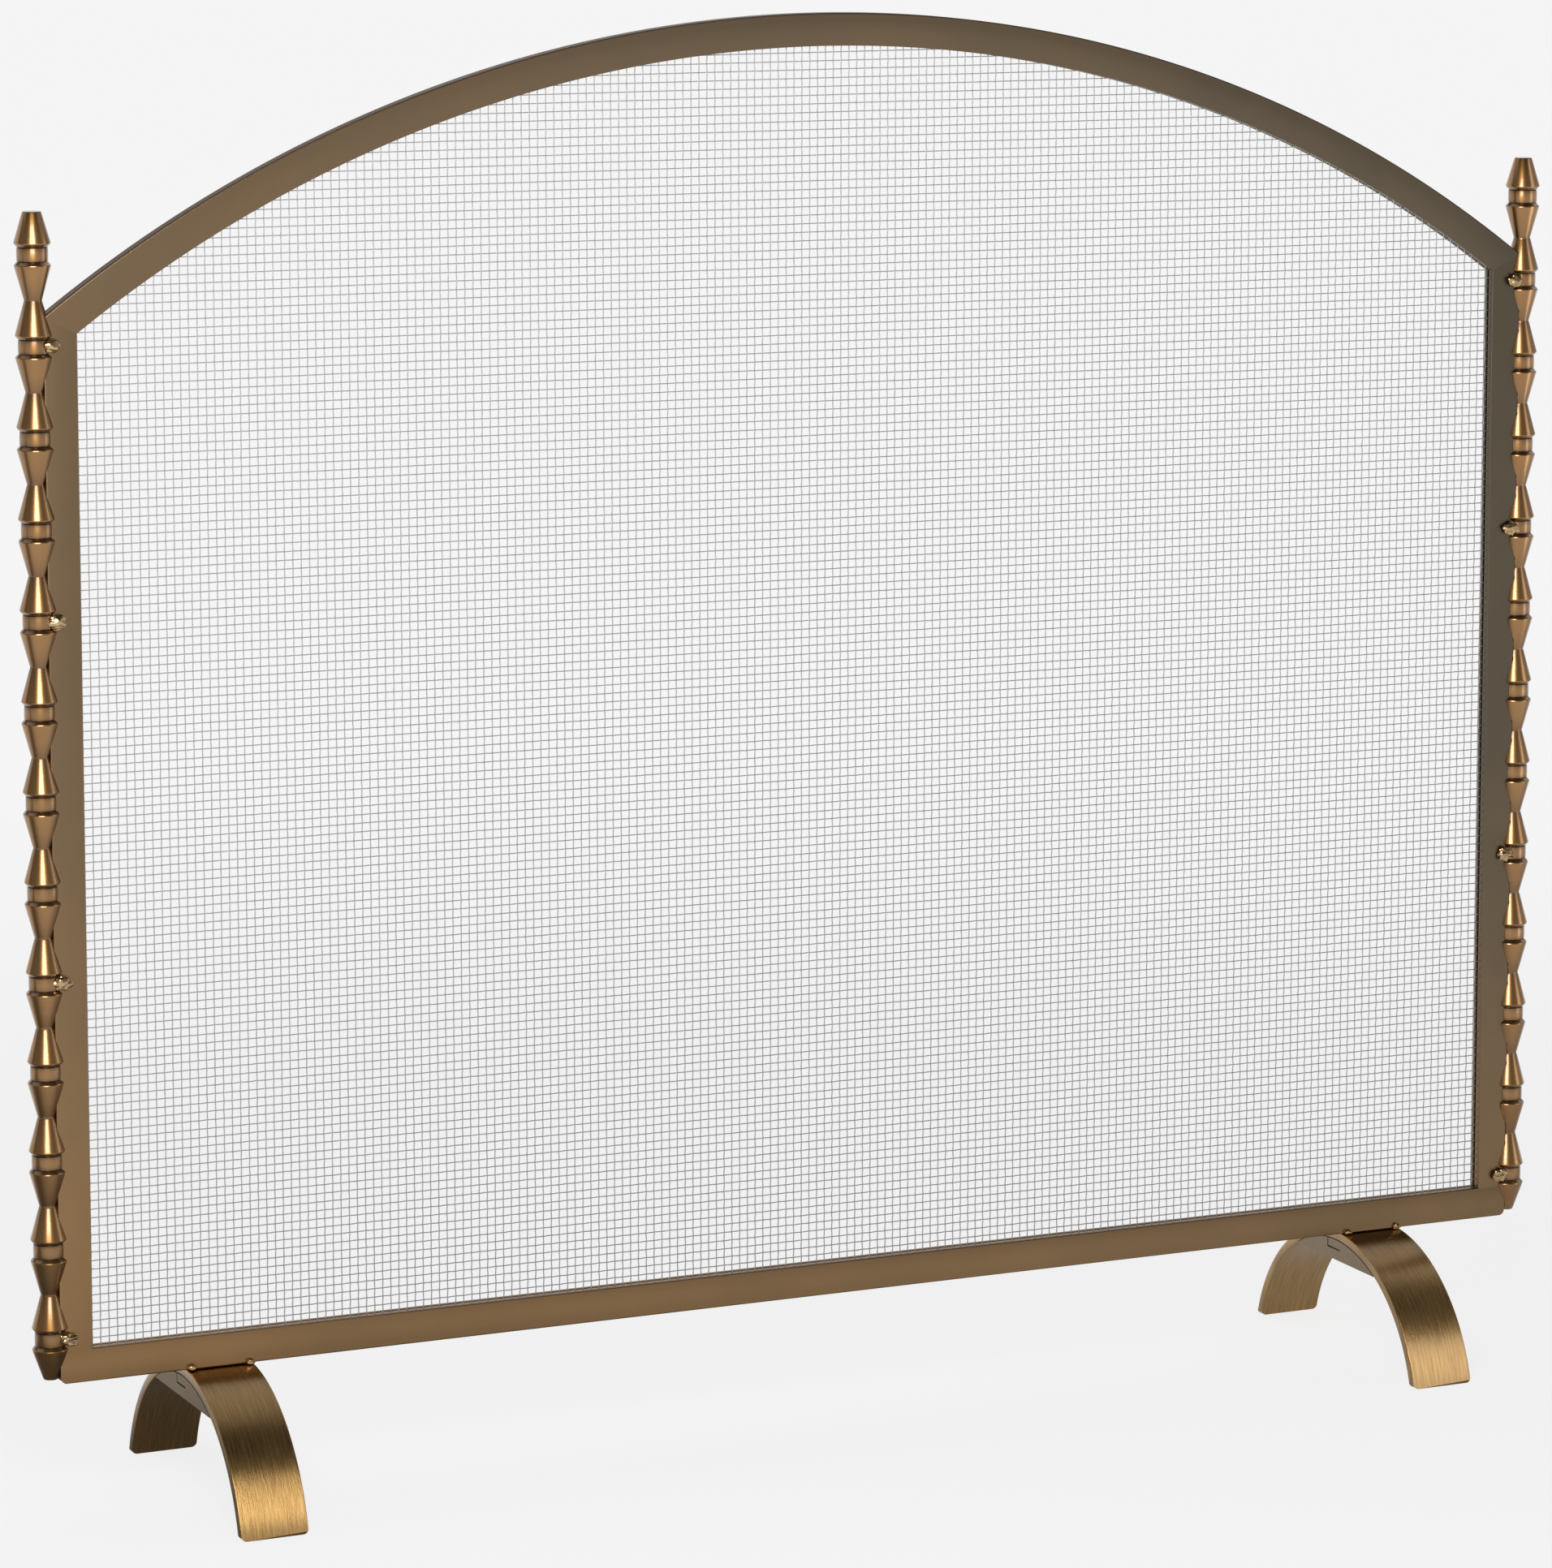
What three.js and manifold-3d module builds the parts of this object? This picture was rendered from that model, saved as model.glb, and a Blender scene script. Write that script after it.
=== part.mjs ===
// Arched fireplace screen: a woven wire panel in a flat-bar frame, carried between two turned
// brass posts and standing on two arched strip feet. Millimetres, +Z up, front facing -Y,
// origin on the floor under the middle of the feet.

import * as THREE from 'three';
import { mergeVertices } from 'three/addons/utils/BufferGeometryUtils.js';
import Module from 'manifold-3d';

// ---- driving dimensions ----
const POST_SPACING = 950;       // between the two post axes
const RAIL_HEIGHT = 76.6;       // floor to the underside of the bottom rail
const SPRING_HEIGHT = 573.7;    // top of the bottom rail to the inner corner under the arch
const ARCH_RISE = 147.4;        // inner corner to the inner crown of the arch
const PANEL_FORWARD = 5;        // the panel and posts stand this far in front of the feet's middle

const BAR_WIDTH = 19;           // face width of every frame bar and retainer
const FRONT_BAR_DEPTH = 4.8;
const RETAINER_DEPTH = 3.2;
const CLOTH_THICKNESS = 1.5;    // two crossing wires
const ARCH_STEPS = 28;
const CORNER_STEPS = 4;
const BAR_TO_POST_AXIS = 4.3;   // outer edge of the stile to the post axis
const RAIL_CORNER_RADIUS = 4;   // outer bottom corners of the frame
const CLOTH_SETBACK = 2;        // edge of the wire cloth inside the outer edge of the bars

const TURN_PITCH = 50.9;        // collar to collar
const FREE_COLLARS = 1;         // collars that stand above the top of the stile
const FIRST_COLLAR = 7.4;       // middle of the lowest collar above the top of the bottom rail
const COLLAR_DIAMETER = 17.3;
const RIM_DIAMETER = 20.5;
const WAIST_DIAMETER = 10;
const COLLAR_HALF = 4;          // half the height of the plain collar
const RIM_OFFSET = 6.3;         // collar middle to the sharp rim on each side of it
const TOP_TIP = { length: 17.2, diameter: 11 };
const BOTTOM_TIP = { length: 17.2, diameter: 9 };
const POST_FACETS = 16;

const FOOT_SPAN = 196;          // front to back on the floor
const FOOT_WIDTH = 40;
const FOOT_THICKNESS = 5.5;
const FOOT_INSET = 99.3;        // post axis to the middle of the foot
const FOOT_CORNER_RADIUS = 3.5;
const FOOT_STEPS = 28;
const GUSSET_THICKNESS = 3;
const GUSSET_DROP = 18.6;       // underside of the rail to the straight edge of the gusset
const SLIT_WIDTH = 1;
const SLIT_DROP = 12.3;         // underside of the rail to the level leg of the slit
const SLIT_FRONT = -5.6;
const SLIT_BACK = 8.5;

const SCREW = { shank: 2.8, head: 6, headHeight: 1.8, grip: 3.6, hole: 3.6 };
const STILE_SCREWS = 3;
const RAIL_SCREWS = 5;
const ARCH_SCREWS = 5;
const SCREW_FACETS = 8;

const POST_WELD_RADIUS = 4;
const POST_WELDS = 4;           // welds between each post and its stile
const FOOT_WELD = { along: 2.2, across: 2.6, high: 2.2 };

const GAP = 0.3;                // left between pieces that touch

// ---- derived places ----
const postX = POST_SPACING / 2;
const stileOuterX = postX - BAR_TO_POST_AXIS;
const stileInnerX = stileOuterX - BAR_WIDTH;
const panelDepth = FRONT_BAR_DEPTH + CLOTH_THICKNESS + RETAINER_DEPTH + 2 * GAP;
const panelFrontY = -PANEL_FORWARD - panelDepth / 2;
const clothFrontY = panelFrontY + FRONT_BAR_DEPTH + GAP;
const retainerFrontY = clothFrontY + CLOTH_THICKNESS + GAP;
const panelBackY = retainerFrontY + RETAINER_DEPTH;
const railTopZ = RAIL_HEIGHT + BAR_WIDTH;
const springZ = railTopZ + SPRING_HEIGHT;
const innerCrownZ = springZ + ARCH_RISE;
const innerRadius = (stileInnerX ** 2 + ARCH_RISE ** 2) / (2 * ARCH_RISE);
const archCentreZ = innerCrownZ - innerRadius;
const outerRadius = innerRadius + BAR_WIDTH;
const firstCollarZ = railTopZ + FIRST_COLLAR;
const seatedCollars = 1 + Math.floor((springZ - firstCollarZ) / TURN_PITCH);
const collarCount = seatedCollars + FREE_COLLARS;
const lastCollarZ = firstCollarZ + (collarCount - 1) * TURN_PITCH;
const footHeight = RAIL_HEIGHT - GAP;
const footOuterRadius = ((FOOT_SPAN / 2) ** 2 + footHeight ** 2) / (2 * footHeight);
const footInnerRadius = footOuterRadius - FOOT_THICKNESS;
const footCentreZ = footHeight - footOuterRadius;
const footX = postX - FOOT_INSET;

// ---- materials ----
const metal = (color, roughness) => new THREE.MeshStandardMaterial({ color, roughness, metalness: 1 });
const turnedBrass = () => metal(0x8a6232, 0.32);
const bronzedSteel = () => metal(0x77603f, 0.5);
const brushedBrass = () => metal(0x9a7440, 0.36);
const wireGrey = () => metal(0x8c8c8a, 0.5);
const weldMetal = () => metal(0x9b7a4c, 0.4);
const blackenedSteel = () => metal(0x3a3632, 0.55);

// ---- booleans ----
const wasm = await Module();
wasm.setup();

// Turns a closed geometry into a manifold solid.
function solid(geometry) {
  const bare = geometry.index ? geometry.toNonIndexed() : geometry.clone();
  bare.deleteAttribute('normal');
  bare.deleteAttribute('uv');
  const welded = mergeVertices(bare, 1e-4);
  return new wasm.Manifold(new wasm.Mesh({
    numProp: 3,
    vertProperties: new Float32Array(welded.attributes.position.array),
    triVerts: new Uint32Array(welded.index.array),
  }));
}

// Turns a manifold solid back into a geometry.
function geometryOf(manifold) {
  const mesh = manifold.getMesh();
  const geometry = new THREE.BufferGeometry();
  geometry.setAttribute('position', new THREE.BufferAttribute(new Float32Array(mesh.vertProperties), 3));
  geometry.setIndex(new THREE.BufferAttribute(new Uint32Array(mesh.triVerts), 1));
  return geometry;
}

// Cuts each of the cutters out of the body.
function cut(body, cutters) {
  return geometryOf(cutters.reduce((left, cutter) => left.subtract(solid(cutter)), solid(body)));
}

const screen = new THREE.Group();

function addPiece(name, geometry, material) {
  const mesh = new THREE.Mesh(geometry, material);
  mesh.name = name;
  screen.add(mesh);
}

// Extrudes a shape drawn in X and Z from frontY towards the back by depth.
function plate(shape, frontY, depth, curveSegments = ARCH_STEPS) {
  const geometry = new THREE.ExtrudeGeometry(shape, { depth, bevelEnabled: false, curveSegments });
  return geometry.rotateX(Math.PI / 2).translate(0, frontY + depth, 0);
}

// A block between two corners.
function block(low, high) {
  const size = high.map((value, axis) => value - low[axis]);
  const middle = high.map((value, axis) => (value + low[axis]) / 2);
  return new THREE.BoxGeometry(...size).translate(...middle);
}

// A cylinder lying along Y.
function pinAlongY(radius, x, frontY, backY, z) {
  const pin = new THREE.CylinderGeometry(radius, radius, backY - frontY, SCREW_FACETS);
  return pin.translate(x, (frontY + backY) / 2, z);
}

// ---- panel outlines ----
const heightOnArc = (radius, x) => archCentreZ + Math.sqrt(radius ** 2 - x ** 2);
const outerSpringZ = heightOnArc(outerRadius, stileOuterX);

function stileShape(side) {
  const shape = new THREE.Shape();
  shape.moveTo(side * stileInnerX, railTopZ + GAP);
  shape.lineTo(side * stileOuterX, railTopZ + GAP);
  shape.lineTo(side * stileOuterX, outerSpringZ - GAP);
  shape.lineTo(side * stileInnerX, springZ - GAP);
  shape.closePath();
  return shape;
}

function bottomRailShape() {
  const corner = RAIL_CORNER_RADIUS;
  const shape = new THREE.Shape();
  shape.moveTo(-stileOuterX, railTopZ);
  shape.lineTo(-stileOuterX, RAIL_HEIGHT + corner);
  shape.absarc(-stileOuterX + corner, RAIL_HEIGHT + corner, corner, Math.PI, 1.5 * Math.PI, false);
  shape.absarc(stileOuterX - corner, RAIL_HEIGHT + corner, corner, 1.5 * Math.PI, 2 * Math.PI, false);
  shape.lineTo(stileOuterX, railTopZ);
  shape.closePath();
  return shape;
}

function archShape() {
  const outerStart = Math.atan2(outerSpringZ - archCentreZ, stileOuterX);
  const innerStart = Math.atan2(springZ - archCentreZ, stileInnerX);
  const shape = new THREE.Shape();
  shape.absarc(0, archCentreZ, outerRadius, outerStart, Math.PI - outerStart, false);
  shape.absarc(0, archCentreZ, innerRadius, Math.PI - innerStart, innerStart, true);
  shape.closePath();
  return shape;
}

// The panel's outline drawn in by setback all round.
function insetShape(setback) {
  const edgeX = stileOuterX - setback;
  const edgeRadius = outerRadius - setback;
  const start = Math.atan2(heightOnArc(edgeRadius, edgeX) - archCentreZ, edgeX);
  const shape = new THREE.Shape();
  shape.moveTo(-edgeX, RAIL_HEIGHT + setback);
  shape.lineTo(edgeX, RAIL_HEIGHT + setback);
  shape.absarc(0, archCentreZ, edgeRadius, start, Math.PI - start, false);
  shape.closePath();
  return shape;
}

// ---- screws behind the retainers ----
const midBar = BAR_WIDTH / 2;
const spread = (count, low, high) => Array.from({ length: count }, (_, i) => low + ((high - low) * (i + 0.5)) / count);
const sideScrews = (side) => spread(STILE_SCREWS, railTopZ, springZ).map((z) => [side * (stileInnerX + midBar), z]);
const railScrews = spread(RAIL_SCREWS, -stileInnerX, stileInnerX).map((x) => [x, RAIL_HEIGHT + midBar]);
const archMidRadius = innerRadius + midBar;
const archHalfAngle = Math.asin(stileInnerX / innerRadius);
const archScrews = spread(ARCH_SCREWS, -archHalfAngle, archHalfAngle)
  .map((angle) => [archMidRadius * Math.sin(angle), archCentreZ + archMidRadius * Math.cos(angle)]);

const screwTipY = panelBackY - RETAINER_DEPTH - CLOTH_THICKNESS - 2 * GAP - SCREW.grip;
const tappedHoles = (places) => places
  .map(([x, z]) => pinAlongY(SCREW.shank / 2 + GAP, x, screwTipY - GAP, panelBackY, z));
const clearanceHoles = (places) => places
  .map(([x, z]) => pinAlongY(SCREW.hole / 2, x, panelFrontY, panelBackY + SCREW.headHeight, z));

function screwGeometry([x, z]) {
  const profile = [
    [0, screwTipY], [SCREW.shank / 2, screwTipY], [SCREW.shank / 2, panelBackY + GAP],
    [SCREW.head / 2, panelBackY + GAP], [SCREW.head / 2, panelBackY + GAP + SCREW.headHeight / 2],
    [SCREW.head / 4, panelBackY + GAP + SCREW.headHeight], [0, panelBackY + GAP + SCREW.headHeight],
  ].map(([radius, y]) => new THREE.Vector2(radius, y));
  return new THREE.LatheGeometry(profile, SCREW_FACETS).translate(x, 0, z);
}

// ---- the framed panel ----
const panelBars = [
  { name: 'left_stile', shape: stileShape(-1), screws: sideScrews(-1) },
  { name: 'right_stile', shape: stileShape(1), screws: sideScrews(1) },
  { name: 'bottom_rail', shape: bottomRailShape(), screws: railScrews, steps: CORNER_STEPS },
  { name: 'arch_rail', shape: archShape(), screws: archScrews },
];
// The rebate in the back of the front bars leaves a lip outside the cloth's edge.
const rebateY = panelFrontY + FRONT_BAR_DEPTH;
const lipDepth = CLOTH_THICKNESS + GAP;
const rebate = plate(insetShape(CLOTH_SETBACK - GAP), rebateY, 2 * lipDepth);
for (const bar of panelBars) {
  const front = plate(bar.shape, panelFrontY, FRONT_BAR_DEPTH + lipDepth, bar.steps);
  const back = plate(bar.shape, retainerFrontY, RETAINER_DEPTH, bar.steps);
  addPiece(bar.name, cut(front, [rebate, ...tappedHoles(bar.screws)]), bronzedSteel());
  addPiece(`${bar.name}_retainer`, cut(back, clearanceHoles(bar.screws)), bronzedSteel());
  bar.screws.forEach((place, i) => addPiece(`${bar.name}_screw_${i + 1}`, screwGeometry(place), blackenedSteel()));
}
const everyScrew = panelBars.flatMap((bar) => bar.screws);
const clothSheet = plate(insetShape(CLOTH_SETBACK), clothFrontY, CLOTH_THICKNESS);
addPiece('wire_cloth', cut(clothSheet, clearanceHoles(everyScrew)), wireGrey());

// ---- turned posts ----
// One half turn from a collar's middle to a waist, as [height, radius], going up.
const halfTurn = (extra) => [
  [COLLAR_HALF, COLLAR_DIAMETER / 2 + extra],
  [RIM_OFFSET, RIM_DIAMETER / 2 + extra],
  [TURN_PITCH / 2, WAIST_DIAMETER / 2 + extra],
];

// The whole post's outline from the bottom tip to the top tip, grown by extra all round.
function postProfile(extra = 0) {
  const outline = [];
  const bottomRimZ = firstCollarZ - RIM_OFFSET;
  const topRimZ = lastCollarZ + RIM_OFFSET;
  outline.push([bottomRimZ - BOTTOM_TIP.length - extra, 0]);
  outline.push([bottomRimZ - BOTTOM_TIP.length - extra, BOTTOM_TIP.diameter / 2 + extra]);
  outline.push([bottomRimZ, RIM_DIAMETER / 2 + extra]);
  for (let i = 0; i < collarCount; i += 1) {
    const z = firstCollarZ + i * TURN_PITCH;
    outline.push([z - COLLAR_HALF, COLLAR_DIAMETER / 2 + extra]);
    if (i === collarCount - 1) break;
    const rise = halfTurn(extra);
    rise.forEach(([up, radius]) => outline.push([z + up, radius]));
    outline.push([z + TURN_PITCH - RIM_OFFSET, RIM_DIAMETER / 2 + extra]);
  }
  outline.push([lastCollarZ + COLLAR_HALF, COLLAR_DIAMETER / 2 + extra]);
  outline.push([topRimZ, RIM_DIAMETER / 2 + extra]);
  outline.push([topRimZ + TOP_TIP.length + extra, TOP_TIP.diameter / 2 + extra]);
  outline.push([topRimZ + TOP_TIP.length + extra, 0]);
  return outline.map(([z, radius]) => new THREE.Vector2(radius, z));
}

// A lathe turned about Y, stood upright on the post's axis.
function postSolid(side, extra = 0) {
  const turned = new THREE.LatheGeometry(postProfile(extra), POST_FACETS);
  return turned.rotateX(Math.PI / 2).translate(side * postX, -PANEL_FORWARD, 0);
}

// The room that the panel's edge takes inside a post.
function panelEdgeSlot(side) {
  const inner = side * (stileOuterX - RIM_DIAMETER);
  const outer = side * (stileOuterX + GAP);
  const topZ = heightOnArc(outerRadius, postX - RIM_DIAMETER / 2) + GAP;
  return block(
    [Math.min(inner, outer), panelFrontY - GAP, RAIL_HEIGHT - GAP],
    [Math.max(inner, outer), panelBackY + GAP, topZ],
  );
}

// A weld bead that fills the nook between a collar and the front of the stile.
function postWeld(side, z) {
  const inboard = postX - COLLAR_DIAMETER / 2 - POST_WELD_RADIUS / 4;
  const lump = new THREE.SphereGeometry(POST_WELD_RADIUS, 10, 8).scale(1, 0.85, 1.05);
  lump.translate(side * inboard, panelFrontY - POST_WELD_RADIUS * 0.3, z);
  const stileRoom = block(
    [-postX, panelFrontY - GAP, RAIL_HEIGHT - GAP],
    [postX, panelBackY, outerSpringZ],
  );
  return cut(lump, [postSolid(side, GAP), stileRoom]);
}

// The welded collars: the lowest, the highest beside the stile, and others evenly between.
const weldedCollars = Array.from({ length: POST_WELDS }, (_, i) => (
  Math.ceil((i * (seatedCollars - 1)) / (POST_WELDS - 1))
));
for (const [label, side] of [['left', -1], ['right', 1]]) {
  addPiece(`${label}_post`, cut(postSolid(side), [panelEdgeSlot(side)]), turnedBrass());
  weldedCollars.forEach((collar, i) => {
    const z = firstCollarZ + collar * TURN_PITCH;
    addPiece(`${label}_post_weld_${i + 1}`, postWeld(side, z), weldMetal());
  });
}

// ---- feet ----
// The strip's side view: an arch of constant radius cut off level with the floor.
function footArchShape() {
  const outerEnd = Math.asin(-footCentreZ / footOuterRadius);
  const innerEnd = Math.asin(-footCentreZ / footInnerRadius);
  const shape = new THREE.Shape();
  shape.absarc(0, footCentreZ, footOuterRadius, outerEnd, Math.PI - outerEnd, false);
  shape.absarc(0, footCentreZ, footInnerRadius, Math.PI - innerEnd, innerEnd, true);
  shape.closePath();
  return shape;
}

// Extrudes a shape drawn in Y and Z along X from lowX by width.
function sideCut(shape, lowX, width, curveSegments = FOOT_STEPS) {
  const geometry = new THREE.ExtrudeGeometry(shape, { depth: width, bevelEnabled: false, curveSegments });
  return geometry.rotateX(Math.PI / 2).rotateZ(Math.PI / 2).translate(lowX, 0, 0);
}

// The waste outside one rounded corner at a foot's end, running right through along Y.
function cornerWaste(middleX, sideX, end) {
  const radius = FOOT_CORNER_RADIUS;
  const edge = middleX + (sideX * FOOT_WIDTH) / 2;
  const shape = new THREE.Shape();
  shape.moveTo(edge + sideX * GAP, -GAP);
  shape.lineTo(edge + sideX * GAP, radius);
  shape.lineTo(edge, radius);
  const centreX = edge - sideX * radius;
  for (let step = 1; step <= 4; step += 1) {
    const angle = (step / 4) * (Math.PI / 2);
    shape.lineTo(centreX + sideX * radius * Math.cos(angle), radius - radius * Math.sin(angle));
  }
  shape.lineTo(centreX, -GAP);
  shape.closePath();
  const depth = FOOT_SPAN / 4;
  return plate(shape, end < 0 ? -FOOT_SPAN / 2 - GAP : FOOT_SPAN / 2 + GAP - depth, depth);
}

// A D-shaped stiffening plate under the crown, with a narrow L-shaped slit.
function gusset(lowX) {
  const radius = footInnerRadius - GAP;
  const chordZ = RAIL_HEIGHT - GUSSET_DROP;
  const start = Math.asin((chordZ - footCentreZ) / radius);
  const shape = new THREE.Shape();
  shape.absarc(0, footCentreZ, radius, start, Math.PI - start, false);
  shape.closePath();
  const levelZ = RAIL_HEIGHT - SLIT_DROP;
  const past = GUSSET_THICKNESS;
  const uprightLeg = block(
    [lowX - past, SLIT_BACK, levelZ],
    [lowX + 2 * past, SLIT_BACK + SLIT_WIDTH, RAIL_HEIGHT],
  );
  const levelLeg = block(
    [lowX - past, SLIT_FRONT, levelZ],
    [lowX + 2 * past, SLIT_BACK + SLIT_WIDTH, levelZ + SLIT_WIDTH],
  );
  return cut(sideCut(shape, lowX, GUSSET_THICKNESS, 16), [uprightLeg, levelLeg]);
}

// A small bead along the foot of the rail's front or back face.
function footWeld(x, faceY, outward) {
  const lump = new THREE.SphereGeometry(1, 8, 6).scale(FOOT_WELD.across, FOOT_WELD.along, FOOT_WELD.high);
  lump.translate(x, faceY + outward * FOOT_WELD.along * 0.4, RAIL_HEIGHT + FOOT_WELD.high * 0.2);
  const railRoom = block(
    [x - POST_SPACING, panelFrontY - GAP, RAIL_HEIGHT - GAP],
    [x + POST_SPACING, panelBackY + GAP, railTopZ],
  );
  const room = sideCut(footRoomShape(), x - FOOT_WIDTH, 2 * FOOT_WIDTH);
  return cut(lump, [railRoom, room]);
}

// The foot's own arch grown by the gap, kept clear by the beads.
function footRoomShape() {
  const shape = new THREE.Shape();
  shape.absarc(0, footCentreZ, footOuterRadius + GAP, 0.25 * Math.PI, 0.75 * Math.PI, false);
  shape.closePath();
  return shape;
}

for (const [label, side] of [['left', -1], ['right', 1]]) {
  const middle = side * footX;
  const low = middle - FOOT_WIDTH / 2;
  const corners = [-1, 1].flatMap((sideX) => [-1, 1].map((end) => cornerWaste(middle, sideX, end)));
  addPiece(`${label}_foot`, cut(sideCut(footArchShape(), low, FOOT_WIDTH), corners), brushedBrass());
  addPiece(`${label}_foot_outer_gusset`, gusset(side < 0 ? low : low + FOOT_WIDTH - GUSSET_THICKNESS), brushedBrass());
  addPiece(`${label}_foot_inner_gusset`, gusset(side < 0 ? low + FOOT_WIDTH - GUSSET_THICKNESS : low), brushedBrass());
  const beadInset = FOOT_WIDTH / 2 - FOOT_WELD.across;
  [[-1, 'front', panelFrontY], [1, 'back', panelBackY]].forEach(([outward, where, faceY]) => {
    addPiece(`${label}_foot_weld_${where}_1`, footWeld(middle - beadInset, faceY, outward), weldMetal());
    addPiece(`${label}_foot_weld_${where}_2`, footWeld(middle + beadInset, faceY, outward), weldMetal());
  });
}

export default screen;
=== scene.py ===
import math

import bpy
import numpy as np
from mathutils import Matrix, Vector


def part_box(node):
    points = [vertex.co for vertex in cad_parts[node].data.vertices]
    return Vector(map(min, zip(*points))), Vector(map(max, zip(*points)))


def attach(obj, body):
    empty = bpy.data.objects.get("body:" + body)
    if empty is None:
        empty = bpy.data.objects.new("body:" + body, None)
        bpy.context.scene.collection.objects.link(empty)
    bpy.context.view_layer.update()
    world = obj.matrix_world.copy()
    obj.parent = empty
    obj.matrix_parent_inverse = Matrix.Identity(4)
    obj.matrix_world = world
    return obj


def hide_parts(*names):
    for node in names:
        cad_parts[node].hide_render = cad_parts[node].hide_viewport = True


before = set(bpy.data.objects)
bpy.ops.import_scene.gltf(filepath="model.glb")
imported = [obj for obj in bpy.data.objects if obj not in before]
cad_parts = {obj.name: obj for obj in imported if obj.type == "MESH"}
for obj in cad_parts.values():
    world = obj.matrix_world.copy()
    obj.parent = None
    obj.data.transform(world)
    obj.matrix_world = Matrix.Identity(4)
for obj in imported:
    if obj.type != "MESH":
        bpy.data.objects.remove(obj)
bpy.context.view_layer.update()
MM = 0.001


# ---------------------------------------------------------------------------------------------
# Camera. It stands to the left of the screen's middle and looks down on it from chest height,
# from far enough away for a long lens. A small lens shift keeps the posts nearly upright.
# ---------------------------------------------------------------------------------------------
CAMERA_PLACE = (-1.5033, -3.2419, 1.0191)
CAMERA_TURN = math.radians(24.52)
CAMERA_DIP = math.radians(7.91)
CAMERA_LENS = 141.6
CAMERA_SHIFT = -0.15

camera_data = bpy.data.cameras.new("studio_camera")
camera_data.lens = CAMERA_LENS
camera_data.shift_y = CAMERA_SHIFT
camera_data.clip_end = 200.0
camera = bpy.data.objects.new("studio_camera", camera_data)
camera.location = CAMERA_PLACE
camera.rotation_euler = (math.pi / 2 - CAMERA_DIP, 0.0, -CAMERA_TURN)
bpy.context.scene.collection.objects.link(camera)
bpy.context.scene.camera = camera


# ---------------------------------------------------------------------------------------------
# Studio. White paper on the floor, glowing of itself so that shadows stay faint, and glowing less near
# the screen as painted shade. A soft box stands in front to the left; two small ones, shielded, light
# only the feet and the posts from the right.
# ---------------------------------------------------------------------------------------------
def linear(hex_colour):
    """Turns an sRGB hex colour such as 8A6232 into linear red, green, blue and full alpha."""
    channels = [int(hex_colour[i:i + 2], 16) / 255 for i in (0, 2, 4)]
    return (*[c / 12.92 if c <= 0.04045 else ((c + 0.055) / 1.055) ** 2.4 for c in channels], 1.0)


def add_node(tree, kind, inputs=None, **settings):
    """Adds a node, sets its properties, then links each input that is a socket and sets the rest."""
    node = tree.nodes.new(kind)
    for key, value in settings.items():
        setattr(node, key, value)
    for key, value in (inputs or {}).items():
        if isinstance(value, bpy.types.NodeSocket):
            tree.links.new(value, node.inputs[key])
        else:
            node.inputs[key].default_value = value
    return node


def start_material(name, metallic, roughness):
    """A new material with one Principled shader; returns the material, its tree and the shader."""
    material = bpy.data.materials.new(name)
    material.use_nodes = True
    tree = material.node_tree
    shader = tree.nodes["Principled BSDF"]
    shader.inputs["Metallic"].default_value = metallic
    shader.inputs["Roughness"].default_value = roughness
    return material, tree, shader


def add_mesh(name, points, faces, material, smooth_angle=None):
    """Makes an object from an array of points in metres and a list of faces, placed at the origin."""
    mesh = bpy.data.meshes.new(name)
    mesh.from_pydata(points.tolist(), [], faces)
    mesh.materials.append(material)
    if smooth_angle is not None:
        mesh.shade_smooth()
        mesh.set_sharp_from_angle(angle=math.radians(smooth_angle))
    mesh.update()
    piece = bpy.data.objects.new(name, mesh)
    bpy.context.scene.collection.objects.link(piece)
    return piece


PAPER_HALF = 40.0
PAPER_GREY = (0.14, 0.14, 0.14, 1.0)
PAPER_GLOW = (0.81, 0.865)
GLOW_ZONE = (0.5, 2.5)
NEAR_GLOW = (0.05, 0.4)
NEAR_ZONE = (-0.15, 0.25)
FAR_GLOW = 0.78
DIM_ZONE = (0.05, 0.42)
paper_material, paper_tree, paper_shader = start_material("white_paper", 0.0, 1.0)
paper_shader.inputs["Base Color"].default_value = PAPER_GREY
paper_shader.inputs["Specular IOR Level"].default_value = 0.0
# Seen directly, the paper glows nearly evenly, a little more across GLOW_ZONE and beyond, so that a faint
# painted shadow lies round the screen. Seen in the metal its glow is dim close to the screen's foot, most
# of all on the left, as a painted shadow under the screen.
place = add_node(paper_tree, "ShaderNodeTexCoord").outputs["Object"]
spot = add_node(paper_tree, "ShaderNodeSeparateXYZ", {0: place})
away = add_node(paper_tree, "ShaderNodeMath", {0: spot.outputs[1]}, operation="ABSOLUTE").outputs[0]
# painted shadow: the glow that the metal reflects drops close to the screen's foot, lowest on the left
near_glow = add_node(
    paper_tree, "ShaderNodeMapRange",
    {0: spot.outputs[0], 1: NEAR_ZONE[0], 2: NEAR_ZONE[1], 3: NEAR_GLOW[0], 4: NEAR_GLOW[1]},
)
glow_in_metal_painted_shade = add_node(
    paper_tree, "ShaderNodeMapRange",
    {0: away, 1: DIM_ZONE[0], 2: DIM_ZONE[1], 3: near_glow.outputs[0], 4: FAR_GLOW},
    interpolation_type="SMOOTHSTEP",
)
reach = add_node(paper_tree, "ShaderNodeVectorMath", {0: place}, operation="LENGTH").outputs["Value"]
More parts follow.
